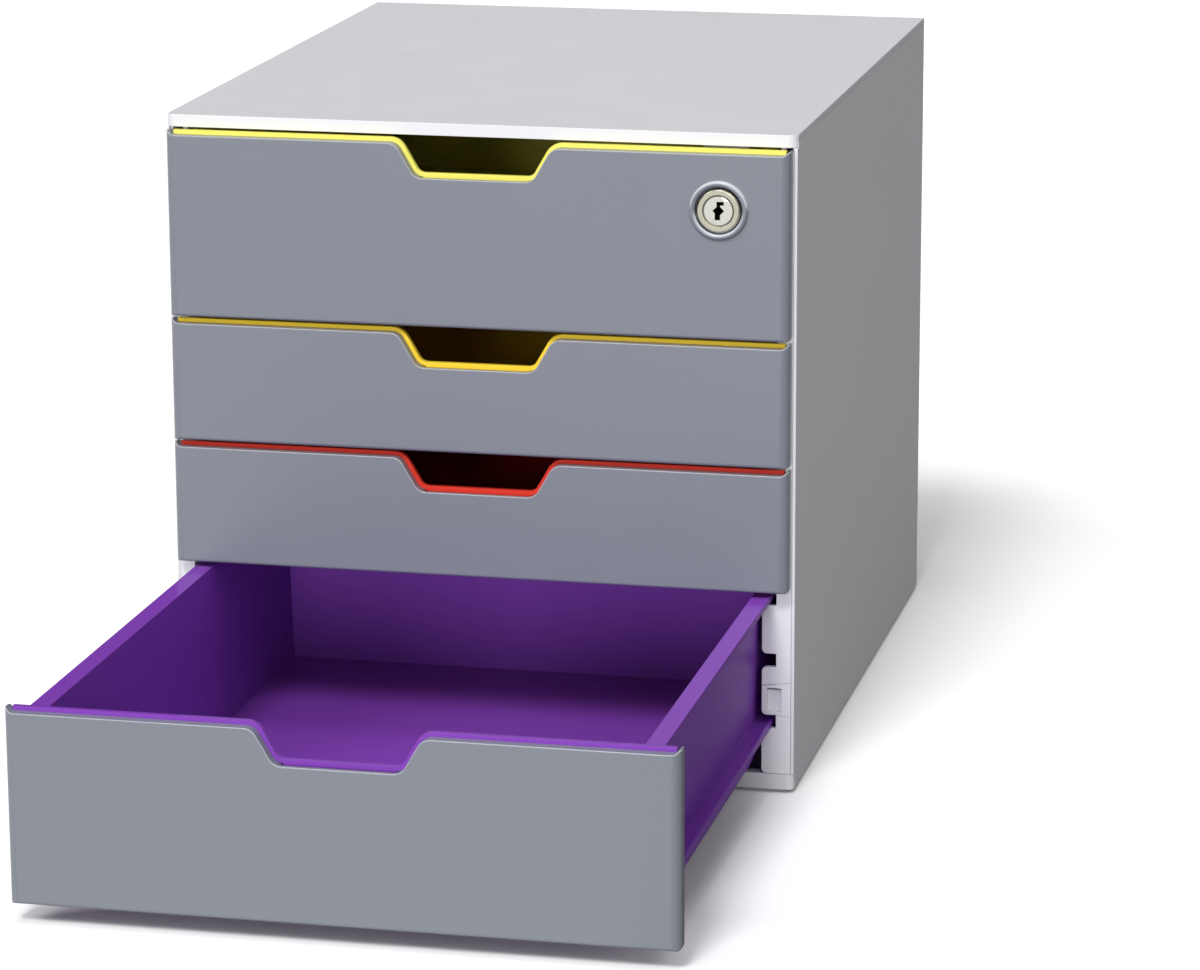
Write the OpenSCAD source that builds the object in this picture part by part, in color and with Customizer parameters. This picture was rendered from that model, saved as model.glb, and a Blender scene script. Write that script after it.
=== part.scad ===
// Desk-top drawer tower: a light grey housing with four sliding drawers, the top one lockable.
// Millimetres, +Z up. The origin is the centre of the housing's footprint on the surface it stands on.
// The drawers face -Y. Drawer 1 is the top one and drawer 4 the bottom one.

/* [Housing] */
// Outside width of the housing
case_w = 280; // [240:1:320]
// Outside depth of the housing, without the drawer fronts
case_d = 348; // [300:1:400]
// Thickness of the side panels
panel_t = 2.5; // [2:0.1:4]
// Width of the side panel's front edge that shows beside the frame
strip_w = 1.4; // [1:0.1:1.8]
// Thickness of the back panel
back_t = 2.5; // [2:0.1:4]
// Thickness of the cover's plate
cover_t = 2.5; // [2:0.1:4]
// Height of the cover's front lip, from its lower edge to the top
lip_h = 5.4; // [4.5:0.1:9]
// Thickness of the cover's front lip
lip_t = 2.5; // [2:0.1:4]
// Radius of the cover's front corners
cover_r = 4; // [1:0.5:8]
// Height of the ribs under the cover
cover_rib_h = 1.8; // [1:0.1:2.5]
// Height of the standing rim under the base
stand_h = 1.6; // [0.8:0.1:3]
// Width of the standing rim
stand_w = 4; // [3:0.5:8]
// How far the standing rim lies inside the housing's outline
stand_inset = 4; // [3:0.5:12]
// Thickness of the base plate
base_t = 2.8; // [2:0.1:4]
// Height of the base's front skirt above the surface
skirt_h = 8.6; // [8:0.1:14]
// Depth of the base's front skirt
skirt_t = 5.5; // [4:0.5:8]
// Radius of the base's front corners
skirt_r = 3; // [2:0.5:5.5]

/* [Guide frames] */
// Distance from the side panel to the frame's web
web_offset = 5.5; // [3:0.5:10]
// Thickness of the web
web_t = 2; // [1.5:0.1:3]
// Depth of the grooves, from the frame's inner edge to the web
groove_depth = 6.3; // [5.5:0.1:9]
// Thickness of the runner shelves above and below each groove
shelf_t = 2; // [1.2:0.1:3]
// How far behind the front flange the runner shelves start
shelf_setback = 30; // [5:1:50]
// Thickness of the frame's front flange
flange_t = 2.5; // [2:0.1:4]
// Radius of the flange's inner corners beside each groove
land_r = 2; // [0.5:0.1:3]
// Thickness of the upright ribs between web and side panel
rib_t = 2; // [1:0.5:4]

/* [Frame clips] */
// Height of the clip at its inner end
clip_h = 13; // [10:0.5:17]
// How much higher the clip is at its outer end
clip_slant = 1.9; // [0:0.1:3]
// How much lower the clip is at its outer end
clip_fall = 0.8; // [0:0.1:2]
// Width of the clip's border round its window
clip_border = 2.3; // [1.5:0.1:3]
// Depth of the clip
clip_depth = 4; // [3:0.5:7]
// Depth of the clip's window
clip_window_depth = 2.4; // [1:0.1:2.8]
// Height of the slit at the head of the clip's window
clip_slit_h = 1.4; // [0.6:0.1:2]

/* [Drawers] */
// Height of one drawer unit
unit_h = 55.7; // [50:0.1:70]
// Height of the top and bottom drawers, in units
tall_units = 1.5; // [1.5:0.5:2.5]
// Height of the two middle drawers, in units
low_units = 1; // [1:0.5:2]
// How far the bottom drawer stands open
open_rest = 226; // [0:1:260]
// Thickness of the tubs' side and back walls
tub_wall = 2; // [1.5:0.1:3]
// Thickness of the tubs' floors
tub_floor = 2; // [1.5:0.1:3]
// Thickness of the tubs' front plates
tub_front_t = 2.6; // [2:0.1:4]
// How much narrower a tub's side is at the floor than at the rim
tub_draft = 2.5; // [0:0.1:4]
// Thickness of the outward rim
rim_t = 2.5; // [1.5:0.1:3]
// How far the rim lies below the top of the tub's front plate
rim_drop = 0.9; // [0:0.1:2]
// Width of the rim along the back wall
back_rim_w = 3; // [1:0.5:5]
// Thickness of the runner ledge
ledge_t = 2.2; // [1.5:0.1:3]
// Height of the fine lip along the ledge's outer edge
ledge_lip_h = 0.8; // [0.5:0.1:1.5]
// Width of the fine lip
ledge_lip_w = 1; // [0.5:0.1:1.5]
// How far a tub's floor lies above its front's lower edge
floor_lift = 4.7; // [3.5:0.1:8]

/* [Drawer fronts] */
// How far a front is inset from the housing's side
front_inset = 1.8; // [1:0.1:4]
// Thickness of a front's face
face_t = 2.5; // [1.5:0.1:4]
// Depth of the front's upper edge, from the face back to the tub's plate
front_shelf = 5; // [4:0.1:8]
// Thickness of a front's flanks and lower edge
flank_t = 2.3; // [1.5:0.1:4]
// Radius of a front's upright edges
front_r = 4; // [2:0.5:4.5]
// Radius of a front's lower corners, seen from the front
corner_r = 1.5; // [1:0.5:5]
// Radius along a front's lower edge
edge_r = 1.5; // [0.5:0.1:2]
// How far the coloured plate rises above the front's edge
band_rise = 1.7; // [1:0.1:3]
// Width of the raised ends of a front's upper edge
ear_w = 4.2; // [3:0.1:6]
// Width of the flat crown on a raised end
ear_crown = 1; // [0.6:0.1:1.5]
// Half width of the finger cut-out at the front's edge
notch_half = 34.7; // [25:0.1:50]
// Depth of the finger cut-out
notch_depth = 15; // [10:0.5:20]
// Radius of the finger cut-out's corners
notch_r = 6; // [3.5:0.5:7]

/* [Lock] */
// Distance from the front's right edge to the lock's axis
lock_inset = 30.7; // [28:0.1:60]
// Distance from the front's upper edge down to the lock's axis
lock_drop = 24; // [20:0.5:35]
// Diameter of the lock's head
lock_head_d = 19.4; // [17:0.1:22]
// Thickness of the lock's head
lock_head_t = 3; // [2:0.1:4]
// Width and depth of the chamfer round the head
head_chamfer = 0.8; // [0.4:0.1:1.2]
// How far the head stands proud of the front
lock_proud = 1; // [0.5:0.1:1.6]
// How far the plug's face lies inside the head's
plug_sunk = 0.3; // [0.1:0.1:0.5]
// Diameter of the barrel
barrel_d = 16.4; // [15.5:0.1:18]
// Length of the barrel behind the head
barrel_len = 16.7; // [14:0.1:20]
// Diameter of the plug
plug_d = 12.4; // [11:0.1:13]
// Width of the groove round the plug's face
mouth_w = 0.6; // [0.3:0.1:0.9]
// Depth of the groove round the plug's face
mouth_depth = 0.9; // [0.5:0.1:1.5]
// Width of the collar moulded round the lock
collar_w = 2.4; // [1.5:0.1:4]
// Height of the collar above the front
collar_h = 1.5; // [0.8:0.1:2]
// Across the corners of the lock's nut
nut_d = 24; // [22:0.5:26]
// Thickness of the lock's nut
nut_t = 3.5; // [2:0.1:5]
// Width of the cam
cam_w = 9; // [8.5:0.5:12]
// Thickness of the cam
cam_t = 2; // [1.5:0.1:3]
// Diameter of the cam's hub
hub_d = 17; // [14:0.5:20]
// Side of the plug's square end
square_w = 7; // [5.5:0.1:8]
// Diameter of the cam screw's shank
screw_d = 4; // [3:0.5:4.5]
// Diameter of the cam screw's head
screw_head_d = 9.5; // [9:0.5:12]
// Height of the cam screw's head
screw_head_h = 2.4; // [1.5:0.1:4]
// Width of the catch that the cam turns up behind
catch_w = 20; // [16:1:30]
// Thickness of the catch
catch_t = 2; // [1.5:0.1:2.5]
// Length of the catch's foot under the cover
catch_foot = 7; // [5:0.5:7.5]
// How far the turned cam's tip stands above the catch's lower edge
catch_hold = 5.6; // [3:0.1:8]
// Number of wafers in the plug
wafer_count = 5; // [3:1:5]
// Thickness of one wafer
wafer_t = 0.9; // [0.6:0.1:1.1]

/* [Pads] */
// Diameter of the non-slip pads
pad_d = 14; // [10:1:20]
// Distance from the housing's outline to a pad's centre
pad_inset = 22; // [20:1:40]

/* [Clearances] */
// Seam between neighbouring housing pieces
seam = 0.2; // [0.1:0.05:0.4]
// Gap under a runner ledge in its groove
run_gap = 0.3; // [0.2:0.05:0.5]
// Gap between a rim's or ledge's outer edge and the web
tip_gap = 2; // [0.5:0.1:3]
// Gap between a tub's wall and the frame's inner edge
wall_gap = 1.7; // [0.5:0.1:3]
// Gap under the rim in its groove
rim_under = 2.15; // [0.5:0.05:3]
// Gap over the rim in its groove
rim_over = 1.35; // [0.5:0.05:3]
// Gap between a tub's top and the drawer or lip above it
top_gap = 1.6; // [0.6:0.1:3]
// Gap between the top drawer's tub and the cover's lip
lip_gap = 0.9; // [0.3:0.1:2]
// Gap between a closed drawer's plate and the housing
seat_gap = 0.4; // [0.3:0.1:1]
// Gap between a closed front's flank and the housing
flank_gap = 0.6; // [0.3:0.1:1.5]
// Gap between a front's flank and the tub's plate inside it
fit_gap = 0.2; // [0.1:0.05:0.4]
// Room behind a closed drawer
back_room = 6.8; // [6:0.1:20]
// Radial gap between plug and barrel
plug_gap = 0.05; // [0.02:0.01:0.08]
// Radial gap round the barrel, in its holes and nut
barrel_gap = 0.15; // [0.1:0.05:0.3]
// Radial gap between the lock's head and its collar
head_gap = 0.6; // [0.4:0.1:1.4]
// Gap between the cam and what lies next to it
cam_gap = 0.4; // [0.3:0.1:1]
// Gap between the turned cam's tip and the cover's lip level
cam_top_gap = 0.8; // [0.5:0.1:2]

/* [Hidden] */
$fn = 48;
HOUSING_COLOR = [0.82, 0.82, 0.84];
FRAME_COLOR = [0.86, 0.86, 0.87];
FRONT_COLOR = [0.57, 0.59, 0.64];
NICKEL = [0.78, 0.76, 0.7];
RUBBER = [0.12, 0.12, 0.13];
TUB_COLORS = [[0.94, 0.9, 0.4], [0.93, 0.76, 0.22], [0.8, 0.16, 0.13], [0.38, 0.18, 0.55]];

// Overrun that lets a cut pass clean through a face
over = 1;

// Drawer heights in half units, from the top drawer down
halves = [2 * tall_units, 2 * low_units, 2 * low_units, 2 * tall_units];
half_h = unit_h / 2;
function halves_below(i) = i >= 3 ? 0 : halves[i + 1] + halves_below(i + 1);
total_halves = halves[0] + halves_below(0);

// Levels of the housing
base_z = stand_h;
plate_z = base_z + base_t;
stack_z = skirt_h + seam;
stack_top = stack_z + total_halves * half_h;
lip_z = stack_top - top_gap + lip_gap;
case_h = lip_z + lip_h;
under_cover = case_h - cover_t;

// Levels of drawer i
function zone_z(i) = stack_z + halves_below(i) * half_h;
function zone_top(i) = zone_z(i) + halves[i] * half_h;
function tub_top(i) = zone_top(i) - top_gap;
function edge_z(i) = tub_top(i) - band_rise;
function rim_top(i) = tub_top(i) - rim_drop;
function floor_z(i) = zone_z(i) + floor_lift;

// Grooves: one near the top of each half unit, high enough for a rim or a ledge
groove_drop = top_gap + rim_drop + rim_t + rim_under;
groove_h = rim_under + rim_t + rim_over;
function groove_z(k) = stack_z + (k + 1) * half_h - groove_drop;
function ledge_z(i) = groove_z(halves_below(i)) + run_gap;

// Distances from the middle plane
case_x = case_w / 2;
panel_x = case_x - panel_t;
web_x = panel_x - web_offset;
land_x = web_x - groove_depth;
flange_x = case_x - strip_w - seam / 2;
rim_x = web_x - tip_gap;
tub_x = land_x - wall_gap;
front_x = case_x - front_inset;
plate_x = front_x - flank_t - fit_gap;

// Distances from front to back
case_y = case_d / 2;
back_y = case_y - back_t;
flange_y = -case_y + flange_t;
shelf_y = flange_y + shelf_setback;
front_back_y = -case_y - flank_gap;
plate_back_y = -case_y - seat_gap;
plate_front_y = plate_back_y - tub_front_t;
face_y = plate_front_y - front_shelf;
tub_back_y = back_y - back_room;

// The lock's places
lock_x = front_x - lock_inset;
lock_z = edge_z(0) - lock_drop;
head_back_y = face_y - lock_proud + lock_head_t;
barrel_end_y = head_back_y + barrel_len;
cam_front_y = barrel_end_y + cam_gap;
cam_back_y = cam_front_y + cam_t;
cam_len = lip_z - cam_top_gap - lock_z;
recess_d = lock_head_d + 2 * head_gap;

// A rectangle in the XY plane from y0 back to y1, with the radius at its two front corners
module front_rounded(x, y0, y1, r) {
    intersection() {
        union() {
            translate([-x, y0 + r])
                square([2 * x, y1 - y0]);
            translate([-x + r, y0])
                square([2 * x - 2 * r, r + 0.01]);
            for (side = [-1, 1])
                translate([side * (x - r), y0 + r])
                    circle(r);
        }
        translate([-x, y0])
            square([2 * x, y1 - y0]);
    }
}

// A rectangle in the XY plane with all four corners rounded
module all_rounded(x, y, r) {
    square([2 * x, 2 * y - 2 * r], center = true);
    square([2 * x - 2 * r, 2 * y], center = true);
    for (sx = [-1, 1], sy = [-1, 1])
        translate([sx * (x - r), sy * (y - r)])
            circle(r);
}

// A box between two corners
module box(low, high) {
    translate(low)
        cube(high - low);
}

// Mirrors a right-hand piece to the left when side is -1
module on_side(side) {
    if (side < 0)
        mirror([1, 0, 0])
            children();
    else
        children();
}

// Arc points round a centre
ARC_STEPS = 8;
function arc(centre, r, from, to) = [
    for (s = [0:ARC_STEPS])
        let (a = from + (to - from) * s / ARC_STEPS)
            centre + r * [cos(a), sin(a)]
];

// Right half of the finger cut-out's outline, in X and Z below the edge level.
// inset moves it towards the hole, measured square to the outline.
SLOPE = 60;
function notch_right(level, inset) =
    let (
        t_lower = (notch_r - inset) * tan(SLOPE / 2),
        top_x = notch_half - inset / sin(SLOPE) + inset / tan(SLOPE),
        low_x = top_x - notch_depth / tan(SLOPE),
        r_upper = notch_r + inset,
        t_upper = r_upper * tan(SLOPE / 2),
        low = level - notch_depth
    )
    concat(
        arc([low_x - t_lower, low + notch_r - inset], notch_r - inset, -90, -90 + SLOPE),
        arc([top_x + t_upper, level - r_upper], r_upper, 90 + SLOPE, 90)
    );

// The whole finger cut-out as an area that runs up past the edge
module notch_2d(level, inset) {
    right = notch_right(level, inset);
    count = len(right);
    left = [for (i = [count - 1:-1:0]) [-right[i][0], right[i][1]]];
    end_x = right[count - 1][0];
    polygon(concat(right, [[end_x, level + 2 * notch_r], [-end_x, level + 2 * notch_r]], left));
}

// A front's outline seen from the front, with rounded lower corners and raised ends
module front_2d(i) {
    low = zone_z(i);
    difference() {
        union() {
            translate([-front_x, low + corner_r])
                square([2 * front_x, edge_z(i) - low - corner_r]);
            translate([-front_x + corner_r, low])
                square([2 * front_x - 2 * corner_r, corner_r + 0.01]);
            for (side = [-1, 1]) {
                translate([side * (front_x - corner_r), low + corner_r])
                    circle(corner_r);
                translate([0, edge_z(i)])
                    ear_2d(side);
            }
        }
        notch_2d(edge_z(i), 0);
    }
}

// The raised end of a front's upper edge, swept up in a hollow curve
ear_run = ear_w - ear_crown;
ear_curve = (ear_run * ear_run + band_rise * band_rise) / (2 * band_rise);
module ear_2d(side) {
    difference() {
        translate([side < 0 ? -front_x : front_x - ear_w, -over])
            square([ear_w, band_rise + over]);
        translate([side * (front_x - ear_w), ear_curve])
            circle(ear_curve);
    }
}

// Extrudes a shape drawn in X and Z from y0 back to y1
module along_y(y0, y1) {
    translate([0, y1, 0])
        rotate([90, 0, 0])
            linear_extrude(y1 - y0)
                children();
}

// The bar that cuts the front's lower edge round
module lower_edge_cut(i) {
    difference() {
        box([-front_x - over, face_y - over, zone_z(i) - over],
            [front_x + over, face_y + edge_r, zone_z(i) + edge_r]);
        translate([-front_x - 2 * over, face_y + edge_r, zone_z(i) + edge_r])
            rotate([0, 90, 0])
                cylinder(r = edge_r, h = 2 * front_x + 4 * over);
    }
}

module drawer_front(i) {
    color(FRONT_COLOR)
        difference() {
            union() {
                difference() {
                    intersection() {
                        along_y(face_y, front_back_y)
                            front_2d(i);
                        translate([0, 0, zone_z(i) - over])
                            linear_extrude(zone_top(i) - zone_z(i) + 2 * over)
                                front_rounded(front_x, face_y, front_back_y, front_r);
                    }
                    lower_edge_cut(i);
                    // Seat of the tub's plate
                    box([-plate_x - fit_gap, plate_front_y, zone_z(i) + flank_t],
                        [plate_x + fit_gap, front_back_y + over, zone_top(i) + over]);
                    // Hollow behind the face, with the edge left whole round the cut-out
                    difference() {
                        box([-front_x + 2 * flank_t, face_y + face_t, zone_z(i) + 2 * flank_t],
                            [front_x - 2 * flank_t, plate_front_y + over, edge_z(i) - flank_t]);
                        along_y(face_y, plate_front_y + 2 * over)
                            notch_2d(edge_z(i), -flank_t);
                    }
                }
                if (i == 0)
                    lock_boss();
            }
            if (i == 0)
                lock_hole();
        }
}

// Solid seat for the lock inside the front, with the collar round its head
module lock_boss() {
    translate([lock_x, face_y + face_t / 2, lock_z])
        rotate([-90, 0, 0])
            cylinder(d = recess_d + 2 * collar_w, h = plate_front_y - face_y - face_t / 2);
    translate([lock_x, face_y, lock_z])
        rotate([90, 0, 0])
            rotate_extrude()
                translate([recess_d / 2, -face_t / 2])
                    collar_2d();
}

// Section of the collar: upright inside, round on its crown
module collar_2d() {
    crown = collar_w / 2;
    height = face_t / 2 + collar_h;
    square([collar_w, height - crown]);
    intersection() {
        translate([crown, height - crown])
            circle(crown);
        square([collar_w, height]);
    }
}

// Recess for the lock's head and the hole for its barrel
module lock_hole() {
    translate([lock_x, face_y - collar_h - over, lock_z])
        rotate([-90, 0, 0])
            cylinder(d = recess_d, h = head_back_y - face_y + collar_h + over);
    barrel_hole(face_y, plate_front_y + over);
}

module barrel_hole(y0, y1) {
    translate([lock_x, y0, lock_z])
        rotate([-90, 0, 0])
            cylinder(r = barrel_d / 2 + barrel_gap, h = y1 - y0);
}

// Section of a tub's sides: outer or inner face, drafted towards the floor
module tub_section(i, x_top, low) {
    fall = tub_draft * (rim_top(i) - low) / (rim_top(i) - floor_z(i));
    polygon([
        [-x_top, rim_top(i)], [-x_top + fall, low],
        [x_top - fall, low], [x_top, rim_top(i)]
    ]);
}

module drawer_tub(i) {
    inner_x = tub_x - tub_wall;
    color(TUB_COLORS[i])
        difference() {
            union() {
                // Front plate
                box([-plate_x, plate_front_y, zone_z(i) + flank_t + fit_gap],
                    [plate_x, plate_back_y, tub_top(i)]);
                along_y(plate_back_y - 0.01, tub_back_y)
                    tub_section(i, tub_x, floor_z(i));
                // Rim along the sides and the back
                for (side = [-1, 1])
                    on_side(side)
                        box([inner_x, plate_back_y - 0.01, rim_top(i) - rim_t],
                            [rim_x, tub_back_y + back_rim_w, rim_top(i)]);
                box([-tub_x, tub_back_y - tub_wall, rim_top(i) - rim_t],
                    [tub_x, tub_back_y + back_rim_w, rim_top(i)]);
                // Runner ledges with a fine lip along the outer edge
                for (side = [-1, 1])
                    on_side(side) {
                        box([tub_x - tub_draft, plate_back_y - 0.01, ledge_z(i)],
                            [rim_x, tub_back_y, ledge_z(i) + ledge_t]);
                        box([rim_x - ledge_lip_w, plate_back_y - 0.01, ledge_z(i)],
                            [rim_x, tub_back_y, ledge_z(i) + ledge_t + ledge_lip_h]);
                    }
            }
            // Inside of the tub
            intersection() {
                along_y(plate_back_y, tub_back_y - tub_wall)
                    tub_section(i, inner_x, floor_z(i) + tub_floor);
                box([-case_x, plate_back_y, floor_z(i) + tub_floor],
                    [case_x, tub_back_y - tub_wall, rim_top(i)]);
            }
            box([-inner_x, plate_back_y, rim_top(i) - 0.01],
                [inner_x, tub_back_y - tub_wall, tub_top(i) + over]);
            // Finger cut-out
            along_y(plate_front_y - over, plate_back_y + over)
                notch_2d(tub_top(i), band_rise);
            if (i == 0)
                barrel_hole(plate_front_y - over, plate_back_y + over);
        }
}

// Moves the bottom drawer to where it stands open
module opened() {
    translate([0, -open_rest, 0])
        children();
}

module top_cover() {
    rib_x = tub_x - tub_wall;
    color(HOUSING_COLOR) {
        translate([0, 0, under_cover])
            linear_extrude(cover_t)
                front_rounded(case_x, -case_y, case_y, cover_r);
        // Front lip, following the rounded corners
        translate([0, 0, lip_z])
            linear_extrude(under_cover - lip_z + 0.01)
                intersection() {
                    front_rounded(case_x, -case_y, case_y, cover_r);
                    translate([-case_x, -case_y])
                        square([case_w, lip_t]);
                }
        // Stiffening ribs across the underside
        for (y = [-case_d / 4, 0, case_d / 4])
            box([-rib_x, y - rib_t / 2, under_cover - cover_rib_h],
                [rib_x, y + rib_t / 2, under_cover + 0.01]);
    }
}

// Bracket under the cover, hanging into the top drawer just in front of the cam's path
module lock_catch() {
    hook_y = cam_front_y - cam_gap;
    color(NICKEL) {
        box([lock_x - catch_w / 2, hook_y - catch_foot, under_cover - catch_t],
            [lock_x + catch_w / 2, hook_y, under_cover]);
        box([lock_x - catch_w / 2, hook_y - catch_t, lock_z + cam_len - catch_hold],
            [lock_x + catch_w / 2, hook_y, under_cover - catch_t + 0.01]);
    }
}

module base_tray() {
    rim_out_x = case_x - stand_inset;
    rim_out_y = case_y - stand_inset;
    color(HOUSING_COLOR)
        difference() {
            union() {
                box([-panel_x + seam, -case_y + skirt_t - 0.01, base_z],
                    [panel_x - seam, back_y - seam, plate_z]);
                translate([0, 0, base_z])
                    linear_extrude(skirt_h - base_z)
                        front_rounded(case_x, -case_y, -case_y + skirt_t, skirt_r);
                // Standing rim
                linear_extrude(base_z + 0.01)
                    difference() {
                        all_rounded(rim_out_x, rim_out_y, stand_w);
                        all_rounded(rim_out_x - stand_w, rim_out_y - stand_w, stand_w / 2);
                    }
            }
            for (sx = [-1, 1], sy = [-1, 1])
                translate([0, 0, -over])
                    pad_shape(sx, sy, pad_d / 2 + seam, plate_z - base_t / 2 + over);
        }
}

module pad_shape(sx, sy, r, h) {
    translate([sx * (case_x - pad_inset), sy * (case_y - pad_inset), 0])
        cylinder(r = r, h = h);
}

module pad(sx, sy) {
    color(RUBBER)
        pad_shape(sx, sy, pad_d / 2, plate_z - base_t / 2);
}

module side_panel(side) {
    color(HOUSING_COLOR)
        on_side(side)
            difference() {
                box([panel_x, -case_y, base_z], [case_x, case_y, under_cover - seam]);
                // Rebate for the guide frame's flange
                box([panel_x - over, -case_y - over, skirt_h],
                    [case_x - strip_w, flange_y + seam, lip_z]);
                // Room for the base's front skirt
                box([panel_x - over, -case_y - over, base_z - over],
                    [case_x + over, -case_y + skirt_t + seam, skirt_h + seam]);
                // Room for the cover's front lip
                box([panel_x - over, -case_y - over, lip_z - seam],
                    [case_x + over, -case_y + lip_t + seam, case_h]);
            }
}

module back_panel() {
    color(HOUSING_COLOR)
        box([-panel_x + seam, back_y, base_z], [panel_x - seam, case_y, under_cover]);
}

// One land of the frame's front flange, with its inner corners rounded
module land_2d(low, high) {
    r = min(land_r, (high - low) / 2 - 0.05);
    translate([land_x + r, low])
        square([web_x - land_x - r, high - low]);
    translate([land_x, low + r])
        square([r + 0.01, high - low - 2 * r]);
    for (z = [low + r, high - r])
        translate([land_x + r, z])
            circle(r);
}

module guide_frame(side) {
    last = total_halves - 1;
    foot_z = skirt_h + seam;
    head_z = edge_z(0);
    color(FRAME_COLOR)
        on_side(side)
            difference() {
                union() {
                    // Web and the ribs that reach the side panel
                    box([web_x, -case_y + skirt_t + seam, plate_z],
                        [web_x + web_t, back_y, under_cover - seam]);
                    for (y = [-case_d / 4, 0, case_d / 4, back_y - 2 * rib_t])
                        box([web_x + web_t - 0.01, y - rib_t / 2, plate_z],
                            [panel_x, y + rib_t / 2, under_cover - seam]);
                    // Front flange: a strip beside the grooves and a land between each pair
                    box([web_x - 0.01, -case_y, foot_z], [flange_x, flange_y, head_z]);
                    along_y(-case_y, flange_y) {
                        land_2d(foot_z, groove_z(0));
                        for (k = [0:last - 1])
                            land_2d(groove_z(k) + groove_h, groove_z(k + 1));
                    }
                    // Runner shelves above and below each groove
                    for (k = [0:last]) {
                        box([land_x, shelf_y, groove_z(k) - shelf_t],
                            [web_x + 0.01, tub_back_y, groove_z(k)]);
                        box([land_x, shelf_y, groove_z(k) + groove_h],
                            [web_x + 0.01, tub_back_y,
                                min(groove_z(k) + groove_h + shelf_t, under_cover - seam)]);
                    }
                    // The flange's foot joins the web behind the skirt
                    box([web_x, flange_y - 0.01, foot_z],
                        [web_x + web_t, -case_y + skirt_t + seam + 0.01, head_z]);
                }
                // Seat of the clip
                along_y(-case_y - over, -case_y + clip_depth + seam)
                    clip_outline(seam);
            }
}

// Outline of the clip in X and Z, grown by gap into the frame
clip_rail = clip_border / 3;
clip_low = groove_z(0) + groove_h;
module clip_outline(gap) {
    polygon([
        [land_x - over * sign(gap), clip_low - gap],
        [web_x, clip_low - gap],
        [flange_x + over * sign(gap), clip_low - clip_fall - gap],
        [flange_x + over * sign(gap), clip_low + clip_h + clip_slant + gap],
        [land_x - over * sign(gap), clip_low + clip_h + gap]
    ]);
}

module frame_clip(side) {
    color(FRAME_COLOR)
        on_side(side)
            difference() {
                intersection() {
                    along_y(-case_y, -case_y + clip_depth)
                        difference() {
                            clip_outline(0);
                            // Rounded inner lower corner
                            difference() {
                                translate([land_x - over, clip_low - over])
                                    square(land_r + over);
                                translate([land_x + land_r, clip_low + land_r])
                                    circle(land_r);
                            }
                        }
                    // Full depth beside the side panel, the flange's depth in front of it
                    union() {
                        box([land_x - over, -case_y - over, 0], [panel_x - seam, 0, case_h]);
                        box([land_x - over, -case_y - over, 0], [case_x, flange_y, case_h]);
                    }
                }
                // Window
                box([land_x + clip_border, -case_y - over, clip_low + 2 * clip_rail],
                    [web_x + clip_border, -case_y + clip_window_depth, clip_low + clip_h - clip_rail]);
                // Slit at the window's head
                box([land_x + clip_border, -case_y - over, clip_low + clip_h - clip_rail - clip_slit_h],
                    [web_x + clip_border, -case_y + clip_depth + over, clip_low + clip_h - clip_rail]);
            }
}

// A cylinder on the lock's axis from y0 back to y1
module lock_round(d, y0, y1) {
    translate([lock_x, y0, lock_z])
        rotate([-90, 0, 0])
            cylinder(d = d, h = y1 - y0);
}

plug_front_y = face_y - lock_proud + plug_sunk;
plug_shoulder_y = barrel_end_y + cam_gap;
bore_d = plug_d + 2 * plug_gap;

module lock_body() {
    color(NICKEL)
        difference() {
            union() {
                translate([lock_x, face_y - lock_proud, lock_z])
                    rotate([-90, 0, 0])
                        rotate_extrude()
                            lock_head_2d();
                lock_round(barrel_d, head_back_y - 0.01, barrel_end_y);
            }
            lock_round(bore_d, face_y - lock_proud - over, barrel_end_y + over);
            // Groove round the plug's face
            lock_round(bore_d + 2 * mouth_w, face_y - lock_proud - over,
                face_y - lock_proud + mouth_depth);
        }
}

// Section of the lock's head, chamfered at its front edge
module lock_head_2d() {
    r = lock_head_d / 2;
    polygon([
        [0, 0], [r - head_chamfer, 0], [r, head_chamfer],
        [r, lock_head_t], [0, lock_head_t]
    ]);
}

module lock_nut() {
    color(NICKEL)
        difference() {
            translate([lock_x, plate_back_y, lock_z])
                rotate([-90, 0, 0])
                    cylinder(d = nut_d, h = nut_t, $fn = 6);
            lock_round(barrel_d + 2 * barrel_gap, plate_back_y - over, plate_back_y + nut_t + over);
        }
}

// Keyway: an upright slot with a hook at its head and a ward on each side
slot_w = plug_d / 8;
slot_h = plug_d * 0.64;
ward_w = plug_d * 0.36;
ward_side = ward_w * 0.8;
module keyway_2d() {
    translate([-slot_w / 2, -slot_h / 2])
        square([slot_w, slot_h]);
    rotate(45)
        square(ward_side, center = true);
    translate([-slot_w / 2, slot_h / 2 - slot_w])
        square([2 * slot_w, slot_w]);
    translate([-slot_w, -slot_h / 2])
        square([1.5 * slot_w, slot_h / 2]);
}

// Wafers stand in slots across the plug
wafer_w = plug_d * 0.5;
wafer_h = plug_d * 0.8;
wafer_gap = 0.1;
wafer_first = 3;
wafer_pitch = (barrel_len - 2 * wafer_first) / wafer_count;
function wafer_y(n) = head_back_y + wafer_first + n * wafer_pitch;

module wafer_box(n, gap) {
    box([lock_x - wafer_w / 2 - gap, wafer_y(n) - gap, lock_z - wafer_h / 2 - gap],
        [lock_x + wafer_w / 2 + gap, wafer_y(n) + wafer_t + gap, lock_z + wafer_h / 2 + gap]);
}

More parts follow.
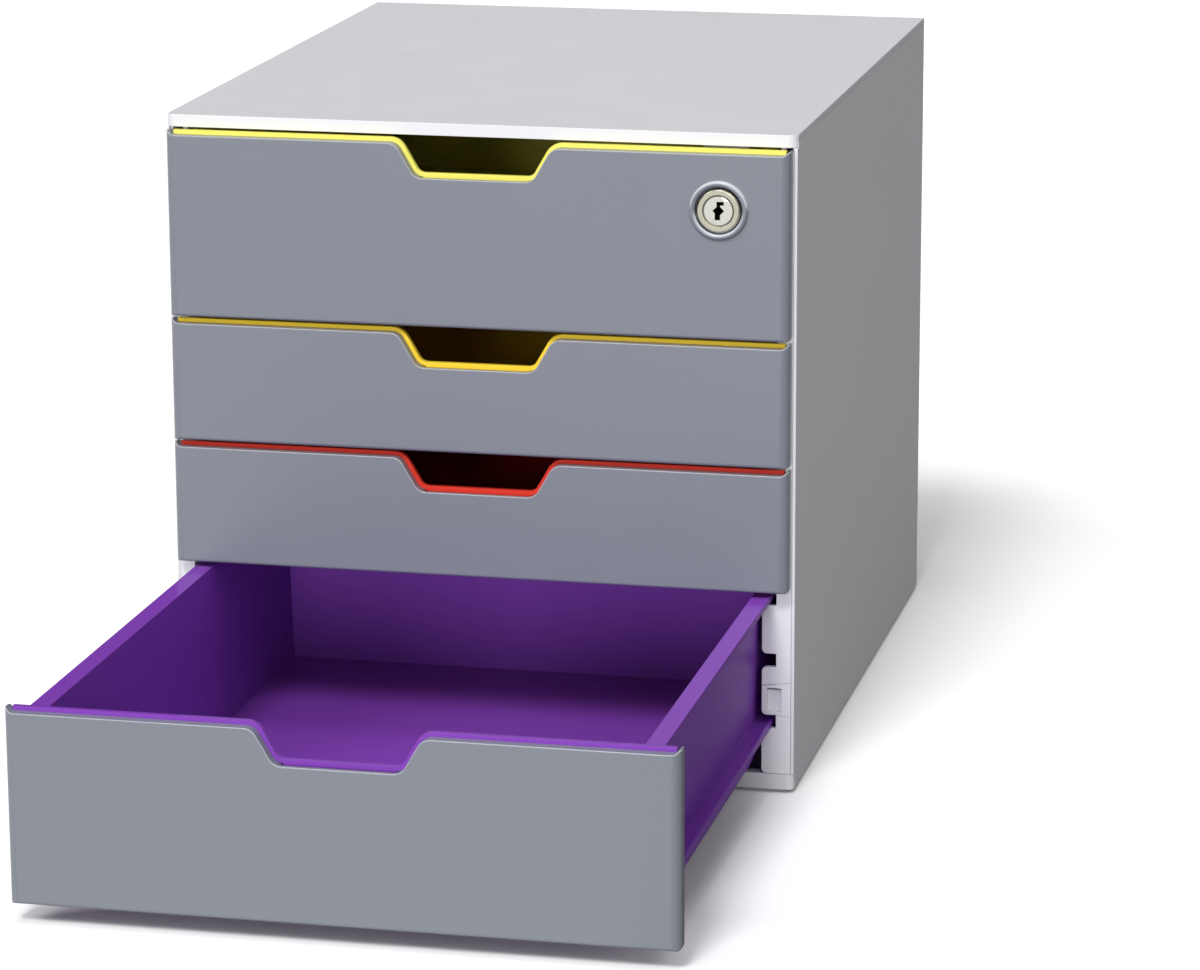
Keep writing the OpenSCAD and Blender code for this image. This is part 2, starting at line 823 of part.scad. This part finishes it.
module lock_plug() {
    color(NICKEL)
        difference() {
            union() {
                lock_round(plug_d, plug_front_y, plug_shoulder_y);
                box([lock_x - square_w / 2, plug_shoulder_y - 0.01, lock_z - square_w / 2],
                    [lock_x + square_w / 2, cam_back_y - seam, lock_z + square_w / 2]);
            }
            translate([lock_x, barrel_end_y - wafer_first, lock_z])
                rotate([90, 0, 0])
                    linear_extrude(barrel_end_y - wafer_first - plug_front_y + over)
                        keyway_2d();
            for (n = [0:wafer_count - 1])
                wafer_box(n, wafer_gap);
            lock_round(screw_d + 2 * wafer_gap, barrel_end_y - wafer_first / 2, cam_back_y + over);
        }
}

module lock_wafers() {
    color([0.8, 0.68, 0.36])
        for (n = [0:wafer_count - 1])
            difference() {
                wafer_box(n, 0);
                // Window that the key passes through
                translate([0, wafer_y(n) - over, 0])
                    box([lock_x - ward_w / 2, 0, lock_z - slot_h / 2],
                        [lock_x + ward_w / 2, wafer_t + 2 * over, lock_z + slot_h / 2]);
            }
}

module lock_cam() {
    color(NICKEL)
        difference() {
            union() {
                lock_round(hub_d, cam_front_y, cam_back_y);
                box([lock_x - cam_len, cam_front_y, lock_z - cam_w / 2],
                    [lock_x, cam_back_y, lock_z + cam_w / 2]);
            }
            box([lock_x - square_w / 2 - wafer_gap, cam_front_y - over, lock_z - square_w / 2 - wafer_gap],
                [lock_x + square_w / 2 + wafer_gap, cam_back_y + over, lock_z + square_w / 2 + wafer_gap]);
        }
}

module lock_cam_screw() {
    cross_w = screw_head_d / 6;
    color(NICKEL)
        difference() {
            union() {
                lock_round(screw_head_d, cam_back_y, cam_back_y + screw_head_h);
                lock_round(screw_d, barrel_end_y, cam_back_y + 0.01);
            }
            // Cross recess
            for (turn = [0, 90])
                translate([lock_x, cam_back_y + screw_head_h / 2 + over, lock_z])
                    rotate([0, turn, 0])
                        cube([screw_head_d / 2, 2 * over, cross_w], center = true);
        }
}

top_cover();
base_tray();
side_panel(-1);  // left_side_panel
side_panel(1);  // right_side_panel
back_panel();
guide_frame(-1);  // left_guide_frame
guide_frame(1);  // right_guide_frame
frame_clip(-1);  // left_frame_clip
frame_clip(1);  // right_frame_clip
pad(-1, -1);  // front_left_pad
pad(1, -1);  // front_right_pad
pad(-1, 1);  // back_left_pad
pad(1, 1);  // back_right_pad
drawer_tub(0);  // drawer_1_tub
drawer_front(0);  // drawer_1_front
drawer_tub(1);  // drawer_2_tub
drawer_front(1);  // drawer_2_front
drawer_tub(2);  // drawer_3_tub
drawer_front(2);  // drawer_3_front
opened() drawer_tub(3);  // drawer_4_tub
opened() drawer_front(3);  // drawer_4_front
lock_body();
lock_nut();
lock_plug();
lock_wafers();
lock_cam();
lock_cam_screw();
lock_catch();
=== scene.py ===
"""Dresses the desk-top drawer tower: finishes, rounded edges, studio floor, lights and camera."""
import math

import bpy
from mathutils import Matrix, Vector


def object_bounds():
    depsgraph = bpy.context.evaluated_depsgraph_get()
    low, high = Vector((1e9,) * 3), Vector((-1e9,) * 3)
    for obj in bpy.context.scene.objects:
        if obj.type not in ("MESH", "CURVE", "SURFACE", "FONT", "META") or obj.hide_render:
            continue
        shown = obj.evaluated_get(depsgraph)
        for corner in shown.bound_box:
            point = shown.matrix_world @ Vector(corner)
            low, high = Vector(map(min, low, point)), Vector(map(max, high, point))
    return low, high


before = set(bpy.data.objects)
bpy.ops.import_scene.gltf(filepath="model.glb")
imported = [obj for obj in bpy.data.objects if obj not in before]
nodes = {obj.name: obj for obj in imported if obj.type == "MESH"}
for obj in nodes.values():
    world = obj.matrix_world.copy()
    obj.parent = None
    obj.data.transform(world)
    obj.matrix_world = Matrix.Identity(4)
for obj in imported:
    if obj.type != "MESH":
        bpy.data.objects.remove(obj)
cad_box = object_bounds()

MM = 0.001
DRAWERS = (1, 2, 3, 4)
SIDES = ("left", "right")


# ---------------------------------------------------------------- colours

def rgb(red, green, blue):
    """A display colour of 0 to 255 as the linear colour that a shader takes."""
    def linear(value):
        value /= 255
        return value / 12.92 if value <= 0.04045 else ((value + 0.055) / 1.055) ** 2.4
    return linear(red), linear(green), linear(blue), 1.0


HOUSING_GREY = rgb(224, 224, 229)
FRAME_GREY = rgb(232, 232, 236)
FRONT_GREY = rgb(122, 126, 135)
# Painted highlight: the paler grey laid on the rounding of the fronts' upper edges
EDGE_HIGHLIGHT_GREY = rgb(206, 210, 216)
NICKEL = rgb(188, 185, 168)
PLUG_NICKEL = rgb(202, 202, 194)
STEEL = rgb(175, 175, 176)
BRASS = rgb(120, 100, 55)
# Painted shade for the lock's keyway and the gaps round its head
RECESS_SHADE = rgb(14, 13, 12)
RUBBER = rgb(38, 38, 40)
TUB_COLORS = {
    1: rgb(238, 230, 108),
    2: rgb(246, 210, 60),
    3: rgb(212, 54, 40),
    4: rgb(128, 66, 176),
}


# ---------------------------------------------------------------- node helpers

# Blender's noise mostly stays between these two values
NOISE_LOW = 0.3
NOISE_HIGH = 0.7
# How closely the rounded direction of a surface is worked out
ROUNDING_SAMPLES = 6
# How fast the painted highlight on a front's upper edges sets in as they turn upwards
HIGHLIGHT_UPWARD_GAIN = 5.0


def new_material(name):
    """A material with its node tree and its one shader."""
    material = bpy.data.materials.new(name)
    material.use_nodes = True
    tree = material.node_tree
    return material, tree, tree.nodes["Principled BSDF"]


def feed(tree, socket, value):
    """Sets a socket to a number or colour, or links another node's output to it."""
    if isinstance(value, bpy.types.NodeSocket):
        tree.links.new(value, socket)
    else:
        socket.default_value = value


def noise(tree, per_metre, detail=2.0, stretch=(1, 1, 1)):
    """Noise on the object's own coordinates; stretch lengthens its grain along an axis."""
    place = tree.nodes.new("ShaderNodeTexCoord")
    squeeze = tree.nodes.new("ShaderNodeMapping")
    squeeze.inputs["Scale"].default_value = [per_metre / s for s in stretch]
    grain = tree.nodes.new("ShaderNodeTexNoise")
    grain.inputs["Scale"].default_value = 1.0
    grain.inputs["Detail"].default_value = detail
    tree.links.new(place.outputs["Object"], squeeze.inputs["Vector"])
    tree.links.new(squeeze.outputs["Vector"], grain.inputs["Vector"])
    return grain.outputs["Fac"]


def ranged(tree, value, start, end, low=0.0, high=1.0):
    """Maps start to end onto low to high, and goes no further on either side."""
    ramp = tree.nodes.new("ShaderNodeMapRange")
    for socket, number in (("From Min", start), ("From Max", end), ("To Min", low), ("To Max", high)):
        ramp.inputs[socket].default_value = number
    tree.links.new(value, ramp.inputs["Value"])
    return ramp.outputs["Result"]


def spread(tree, grain, low, high):
    """Noise spread over low to high."""
    return ranged(tree, grain, NOISE_LOW, NOISE_HIGH, low, high)


def mixed(tree, share, first, second, kind="FLOAT"):
    """Two numbers, or two colours with the kind RGBA, blended by the second one's share."""
    mix = tree.nodes.new("ShaderNodeMix")
    mix.data_type = kind
    feed(tree, mix.inputs["Factor"], share)
    feed(tree, mix.inputs["A"], first)
    feed(tree, mix.inputs["B"], second)
    return mix.outputs["Result"]


def shaded(tree, value, color, change):
    """The colour, a little darker and lighter with the 0 to 1 value."""
    dark = [c * (1 - change) for c in color[:3]] + [1.0]
    light = [min(1.0, c * (1 + change)) for c in color[:3]] + [1.0]
    return mixed(tree, value, dark, light, "RGBA")


def calculated(tree, operation, first, second):
    """One step of arithmetic on a socket and a socket or number, kept between 0 and 1."""
    step = tree.nodes.new("ShaderNodeMath")
    step.operation = operation
    step.use_clamp = True
    feed(tree, step.inputs[0], first)
    feed(tree, step.inputs[1], second)
    return step.outputs["Value"]


def along(tree, vector, axis):
    """A vector's own X, Y or Z."""
    split = tree.nodes.new("ShaderNodeSeparateXYZ")
    tree.links.new(vector, split.inputs["Vector"])
    return split.outputs[axis]


def highlight_edges(tree, normal):
    """1 on the rounding between a front's face and what lies above it, 0 on flat faces: where the fronts'
    painted highlight goes.
    """
    forward = calculated(tree, "MULTIPLY", along(tree, normal, "Y"), -1.0)
    tilted = calculated(tree, "MULTIPLY", forward, calculated(tree, "SUBTRACT", 1.0, forward))
    # x (1 - x) is a quarter at most, so 4 brings it up to 1
    tilted = calculated(tree, "MULTIPLY", tilted, 4.0)
    upward = calculated(tree, "MULTIPLY", along(tree, normal, "Z"), HIGHLIGHT_UPWARD_GAIN)
    return calculated(tree, "MULTIPLY", tilted, upward)


def depth(tree, start, end):
    """0 in front of start and 1 behind end, along the object's own Y."""
    place = tree.nodes.new("ShaderNodeTexCoord")
    return ranged(tree, along(tree, place.outputs["Object"], "Y"), start, end)


def rounded_normal(tree, radius):
    """The surface's direction, turned smoothly over its edges as if they had this radius."""
    edge = tree.nodes.new("ShaderNodeBevel")
    edge.samples = ROUNDING_SAMPLES
    edge.inputs["Radius"].default_value = radius
    return edge.outputs["Normal"]


def bump(tree, shader, height, distance, normal=None):
    """Fine relief of the given depth, on the surface's own direction or a rounded one."""
    node = tree.nodes.new("ShaderNodeBump")
    node.inputs["Distance"].default_value = distance
    tree.links.new(height, node.inputs["Height"])
    if normal is not None:
        tree.links.new(normal, node.inputs["Normal"])
    tree.links.new(node.outputs["Normal"], shader.inputs["Normal"])


# ---------------------------------------------------------------- materials

# Plastics: noise per metre of the clouding and of the gloss, and how far the roughness goes up and down
CLOUDS = 12
GLOSS_CLOUDS = 40
GLOSS_CHANGE = 0.02
# Size of their fine grain, and their refraction
GRAIN = 0.5 * MM
PLASTIC_IOR = 1.5
# Flow streaks in the housing's panels, and their share of the clouding
STREAK_WIDTH = 1.5 * MM
STREAK_LENGTH = 90 * MM
STREAK_SHARE = 0.7
# Roughness of each plastic, and depth of its grain
HOUSING_ROUGH = 0.38
FRAME_ROUGH = 0.33
FRONT_ROUGH = 0.3
WALL_ROUGH = 0.42
RIM_ROUGH = 0.16
HOUSING_GRAIN = 0.008 * MM
FRONT_GRAIN = 0.012 * MM
TUB_GRAIN = 0.003 * MM
TUB_SPECULAR = 0.15
# How far a colour goes up and down
EVEN = 0.01
CLOUDED = 0.02
METAL_CLOUDED = 0.03
RUBBER_CLOUDED = 0.2
# Radius to which the shading rounds each plastic's edges
HOUSING_EDGE = 0.5 * MM
FRAME_EDGE = 0.3 * MM
FRONT_EDGE = 0.8 * MM
TUB_EDGE = 0.5 * MM
# Metal and rubber: noise per metre of the colour, of the gloss and of the fine relief
METAL_CLOUDS = 250
METAL_GLOSS = 1200
RUBBER_CLOUDS = 400
RUBBER_GLOSS = 500
FINE_RELIEF = 3000
# Depth of that relief, and span of the roughness
METAL_RELIEF = 0.001 * MM
RUBBER_RELIEF = 0.1 * MM
HEAD_ROUGH = (0.2, 0.26)
PLUG_ROUGH = (0.22, 0.3)
STEEL_ROUGH = (0.3, 0.45)
BRASS_ROUGH = (0.4, 0.5)
RUBBER_ROUGH = (0.75, 0.9)
# Painted shade in the lock's gaps and keyway: how far behind the head's and the plug's front it starts,
# over what depth it sets in, and how rough it is
HEAD_SHADE_FROM = 0.7 * MM
PLUG_SHADE_FROM = 0.4 * MM
SHADE_DEPTH = 0.3 * MM
SHADE_ROUGH = 0.7


def moulded_plastic(name, color, change, grain_height, edge, rough=None, streaks=0.0):
    """Moulded plastic: fine grain, faint clouding, upright flow streaks and, if rough is given, a slow
    change of gloss."""
    material, tree, shader = new_material(name)
    cloud = noise(tree, CLOUDS)
    if streaks:
        flow = noise(tree, 1 / STREAK_WIDTH, stretch=(1, 1, STREAK_LENGTH / STREAK_WIDTH))
        cloud = mixed(tree, streaks, cloud, flow)
    tree.links.new(shaded(tree, cloud, color, change), shader.inputs["Base Color"])
    if rough is not None:
        gloss = spread(tree, noise(tree, GLOSS_CLOUDS), rough - GLOSS_CHANGE, rough + GLOSS_CHANGE)
        tree.links.new(gloss, shader.inputs["Roughness"])
    normal = rounded_normal(tree, edge)
    bump(tree, shader, noise(tree, 1 / GRAIN), grain_height, normal)
    shader.inputs["IOR"].default_value = PLASTIC_IOR
    return material, tree, shader, normal


def housing_plastic():
    """The plastic of the housing's panels, with the flow streaks of large mouldings."""
    return moulded_plastic("housing_plastic", HOUSING_GREY, CLOUDED, HOUSING_GRAIN, HOUSING_EDGE,
                           HOUSING_ROUGH, STREAK_SHARE)[0]


def frame_plastic():
    """The paler plastic of the guide frames and their clips."""
    return moulded_plastic("frame_plastic", FRAME_GREY, EVEN, HOUSING_GRAIN, FRAME_EDGE, FRAME_ROUGH)[0]


def front_plastic():
    """The drawer fronts' plastic, with a painted highlight: paler on the rounding of the upper edges,
    where light catches them.
    """
    material, tree, shader, normal = moulded_plastic("front_plastic", FRONT_GREY, EVEN, FRONT_GRAIN,
                                                     FRONT_EDGE, FRONT_ROUGH)
    base = shader.inputs["Base Color"]
    body = base.links[0].from_socket
    # Painted highlight on the upper edges' rounding
    tree.links.new(mixed(tree, highlight_edges(tree, normal), body, EDGE_HIGHLIGHT_GREY, "RGBA"), base)
    return material


def tub_plastic(name, color):
    """The tubs' plastic: satin walls, and a polished rim where a face looks up."""
    material, tree, shader, normal = moulded_plastic(name, color, CLOUDED, TUB_GRAIN, TUB_EDGE)
    upward = along(tree, normal, "Z")
    polish = calculated(tree, "MULTIPLY", upward, upward)
    tree.links.new(ranged(tree, polish, 0.0, 1.0, WALL_ROUGH, RIM_ROUGH), shader.inputs["Roughness"])
    shader.inputs["Specular IOR Level"].default_value = TUB_SPECULAR
    return material


def metal(name, color, rough_span, shade_from=None):
    """Bare or plated metal; past the given depth on its own Y axis it is painted dark, as shade in the
    lock's gaps and keyway.
    """
    material, tree, shader = new_material(name)
    base = shaded(tree, noise(tree, METAL_CLOUDS), color, METAL_CLOUDED)
    rough = spread(tree, noise(tree, METAL_GLOSS), *rough_span)
    if shade_from is not None:
        # Painted shade: dark colour from this depth inwards, where shade falls in the gaps and keyway
        painted_shade = depth(tree, shade_from, shade_from + SHADE_DEPTH)
        base = mixed(tree, painted_shade, base, RECESS_SHADE, "RGBA")
        rough = calculated(tree, "MAXIMUM", rough, calculated(tree, "MULTIPLY", painted_shade, SHADE_ROUGH))
    tree.links.new(base, shader.inputs["Base Color"])
    tree.links.new(rough, shader.inputs["Roughness"])
    shader.inputs["Metallic"].default_value = 1.0
    bump(tree, shader, noise(tree, FINE_RELIEF), METAL_RELIEF)
    return material


def rubber(name):
    """Dull dark rubber."""
    material, tree, shader = new_material(name)
    cloud = noise(tree, RUBBER_CLOUDS, detail=3.0)
    tree.links.new(shaded(tree, cloud, RUBBER, RUBBER_CLOUDED), shader.inputs["Base Color"])
    tree.links.new(spread(tree, noise(tree, RUBBER_GLOSS), *RUBBER_ROUGH), shader.inputs["Roughness"])
    bump(tree, shader, noise(tree, FINE_RELIEF), RUBBER_RELIEF)
    return material


def foremost(name):
    """The place on Y of a node's front."""
    return min(vertex.co.y for vertex in nodes[name].data.vertices)


MATERIALS = {
    "housing": housing_plastic(),
    "frame": frame_plastic(),
    "front": front_plastic(),
    "nickel": metal("lock_nickel", NICKEL, HEAD_ROUGH, foremost("lock_body") + HEAD_SHADE_FROM),
    "plug": metal("plug_nickel", PLUG_NICKEL, PLUG_ROUGH, foremost("lock_plug") + PLUG_SHADE_FROM),
    "steel": metal("lock_steel", STEEL, STEEL_ROUGH),
    "brass": metal("wafer_brass", BRASS, BRASS_ROUGH),
    "rubber": rubber("pad_rubber"),
}

FINISHES = {
    "housing": ["top_cover", "base_tray", "left_side_panel", "right_side_panel", "back_panel"],
    "frame": ["left_guide_frame", "right_guide_frame", "left_frame_clip", "right_frame_clip"],
    "front": [f"drawer_{number}_front" for number in DRAWERS],
    "nickel": ["lock_body"],
    "plug": ["lock_plug"],
    "steel": ["lock_nut", "lock_cam", "lock_cam_screw", "lock_catch"],
    "brass": ["lock_wafers"],
    "rubber": ["front_left_pad", "front_right_pad", "back_left_pad", "back_right_pad"],
}
for number, color in TUB_COLORS.items():
    MATERIALS[f"tub_{number}"] = tub_plastic(f"tub_{number}_plastic", color)
    FINISHES[f"tub_{number}"] = [f"drawer_{number}_tub"]

for key, names in FINISHES.items():
    for name in names:
        nodes[name].data.materials.clear()
        nodes[name].data.materials.append(MATERIALS[key])


# ---------------------------------------------------------------- rounded edges

# Edges that turn by more than this are rounded, in this many steps
SHARP_DEG = 35
EDGE_STEPS = 3
# Corners nearer than this are one corner
SAME_POINT = 0.001 * MM
# How much the larger faces' direction counts where faces meet, of 100
FACE_WEIGHT = 100


def soften(name, width):
    """Rounds every sharp edge of a CAD node by a real width, without touching its own mesh."""
    piece = nodes[name]
    weld = piece.modifiers.new("weld", "WELD")
    weld.merge_threshold = SAME_POINT
    edge = piece.modifiers.new("edge", "BEVEL")
    edge.width = width
    edge.segments = EDGE_STEPS
    edge.limit_method = "ANGLE"
    edge.angle_limit = math.radians(SHARP_DEG)
    edge.use_clamp_overlap = True
    edge.harden_normals = False
    normal = piece.modifiers.new("normal", "WEIGHTED_NORMAL")
    normal.keep_sharp = False
    normal.weight = FACE_WEIGHT


# How wide each kind of piece is rounded, less than half of its thinnest wall
EDGES = {
    "top_cover": 0.6 * MM,
    "base_tray": 0.5 * MM,
    "back_panel": 0.4 * MM,
    "lock_body": 0.12 * MM,
    "lock_plug": 0.12 * MM,
    "lock_nut": 0.2 * MM,
    "lock_cam": 0.2 * MM,
    "lock_catch": 0.2 * MM,
}
for number in DRAWERS:
    EDGES[f"drawer_{number}_front"] = 0.45 * MM
    EDGES[f"drawer_{number}_tub"] = 0.35 * MM
for side in SIDES:
    EDGES[f"{side}_side_panel"] = 0.15 * MM
    EDGES[f"{side}_guide_frame"] = 0.15 * MM
    EDGES[f"{side}_frame_clip"] = 0.2 * MM
for name, width in EDGES.items():
    soften(name, width)


# ---------------------------------------------------------------- floor, lights and camera

# Half the floor's width, in metres
FLOOR_HALF = 14
# How pale the floor is to the camera, to what it lights, and to a glossy face that mirrors it; the
# mirrored floor darkens between two places on X, at the tower's right side, as painted shade where the
# tower's shadow lies
FLOOR_SEEN = 1.13
FLOOR_BOUNCE = 0.3
FLOOR_MIRRORED = 1.0
FLOOR_MIRRORED_SHADE = 0.12
TOWER_RIGHT = cad_box[1][0]
MIRROR_FALLS_FROM = TOWER_RIGHT - 0.04
MIRROR_FALLS_TO = TOWER_RIGHT + 0.01
# The side that the all-round light comes from, its strength there, and how far it reaches round
# (the cosine of the angle at which it starts)
AMBIENT_FROM = (0.6, -0.75, 0.25)
AMBIENT_STRONG = 0.8
AMBIENT_REACH = 0.05
# Lamps: azimuth from the front to the right, elevation, strength and spread
LAMPS = {
    "key_light": (-8, 50, 1.5, 16),
    "front_light": (2, 8, 1.1, 12),
    "left_light": (-52, 38, 0.95, 24),
    "top_light": (0, 88, 0.75, 30),
}
# Place and reach of the camera in metres; heading from +Y towards +X, pitch and roll in degrees; lens
# and sensor in mm
CAMERA_AT = Vector((0.4852, -2.0798, 0.6267))
CAMERA_REACH = 60
CAMERA_HEADING = -12.76
CAMERA_PITCH = -14.12
CAMERA_ROLL = -0.21
CAMERA_LENS = 138.84
CAMERA_SENSOR = 36


def turned(degrees, axis):
    """A turn about one axis."""
    return Matrix.Rotation(math.radians(degrees), 4, axis)


def studio_floor():
    """A matte floor that keeps the tower's shadow."""
    mesh = bpy.data.meshes.new("floor")
    corners = [(x * FLOOR_HALF, y * FLOOR_HALF, 0) for x, y in ((-1, -1), (1, -1), (1, 1), (-1, 1))]
    mesh.from_pydata(corners, [], [(0, 1, 2, 3)])
    floor = bpy.data.objects.new("floor", mesh)
    bpy.context.collection.objects.link(floor)
    material, tree, shader = new_material("floor")
    shader.inputs["Roughness"].default_value = 1.0
    shader.inputs["Specular IOR Level"].default_value = 0.0
    path = tree.nodes.new("ShaderNodeLightPath")
    place = tree.nodes.new("ShaderNodeNewGeometry")
    across = along(tree, place.outputs["Position"], "X")
    # Painted shade in the mirrored floor by the tower's right side
    mirrored = ranged(tree, across, MIRROR_FALLS_FROM, MIRROR_FALLS_TO,
                      FLOOR_MIRRORED, FLOOR_MIRRORED_SHADE)
    unseen = mixed(tree, path.outputs["Is Glossy Ray"], FLOOR_BOUNCE, mirrored)
    seen = mixed(tree, path.outputs["Is Camera Ray"], unseen, FLOOR_SEEN)
    tree.links.new(seen, shader.inputs["Base Color"])
    mesh.materials.append(material)


def studio_world():
    """Pale light from one side, fading round to the other; past the floor the camera sees plain white."""
    world = bpy.data.worlds.new("studio")
    world.use_nodes = True
    tree = world.node_tree
    sky = tree.nodes["Background"]
    sky.inputs["Color"].default_value = (1, 1, 1, 1)
    way = tree.nodes.new("ShaderNodeTexCoord")
    facing = tree.nodes.new("ShaderNodeVectorMath")
    facing.operation = "DOT_PRODUCT"
    facing.inputs[1].default_value = Vector(AMBIENT_FROM).normalized()
    tree.links.new(way.outputs["Generated"], facing.inputs[0])
    side = ranged(tree, facing.outputs["Value"], AMBIENT_REACH, 1.0, 0.0, AMBIENT_STRONG)
    path = tree.nodes.new("ShaderNodeLightPath")
    tree.links.new(mixed(tree, path.outputs["Is Camera Ray"], side, 1.0), sky.inputs["Strength"])
    bpy.context.scene.world = world


def soft_sun(name, azimuth, elevation, strength, spread_deg):
    """Even light from one side, with shadows as soft as its spread."""
    light = bpy.data.lights.new(name, "SUN")
    light.energy = strength
    light.angle = math.radians(spread_deg)
    lamp = bpy.data.objects.new(name, light)
    lamp.matrix_world = turned(azimuth, "Z") @ turned(90 - elevation, "X")
    bpy.context.collection.objects.link(lamp)


def photo_camera():
    """The camera that took the photograph, as the fit to the tower's edges gave it."""
    data = bpy.data.cameras.new("camera")
    data.sensor_fit = "HORIZONTAL"
    data.sensor_width = CAMERA_SENSOR
    data.lens = CAMERA_LENS
    data.clip_end = CAMERA_REACH
    camera = bpy.data.objects.new("camera", data)
    aim = turned(-CAMERA_HEADING, "Z") @ turned(90 + CAMERA_PITCH, "X") @ turned(CAMERA_ROLL, "Z")
    camera.matrix_world = Matrix.Translation(CAMERA_AT) @ aim
    bpy.context.collection.objects.link(camera)
    bpy.context.scene.camera = camera


studio_floor()
studio_world()
for name, settings in LAMPS.items():
    soft_sun(name, *settings)
photo_camera()

bpy.context.scene.view_settings.view_transform = "Standard"
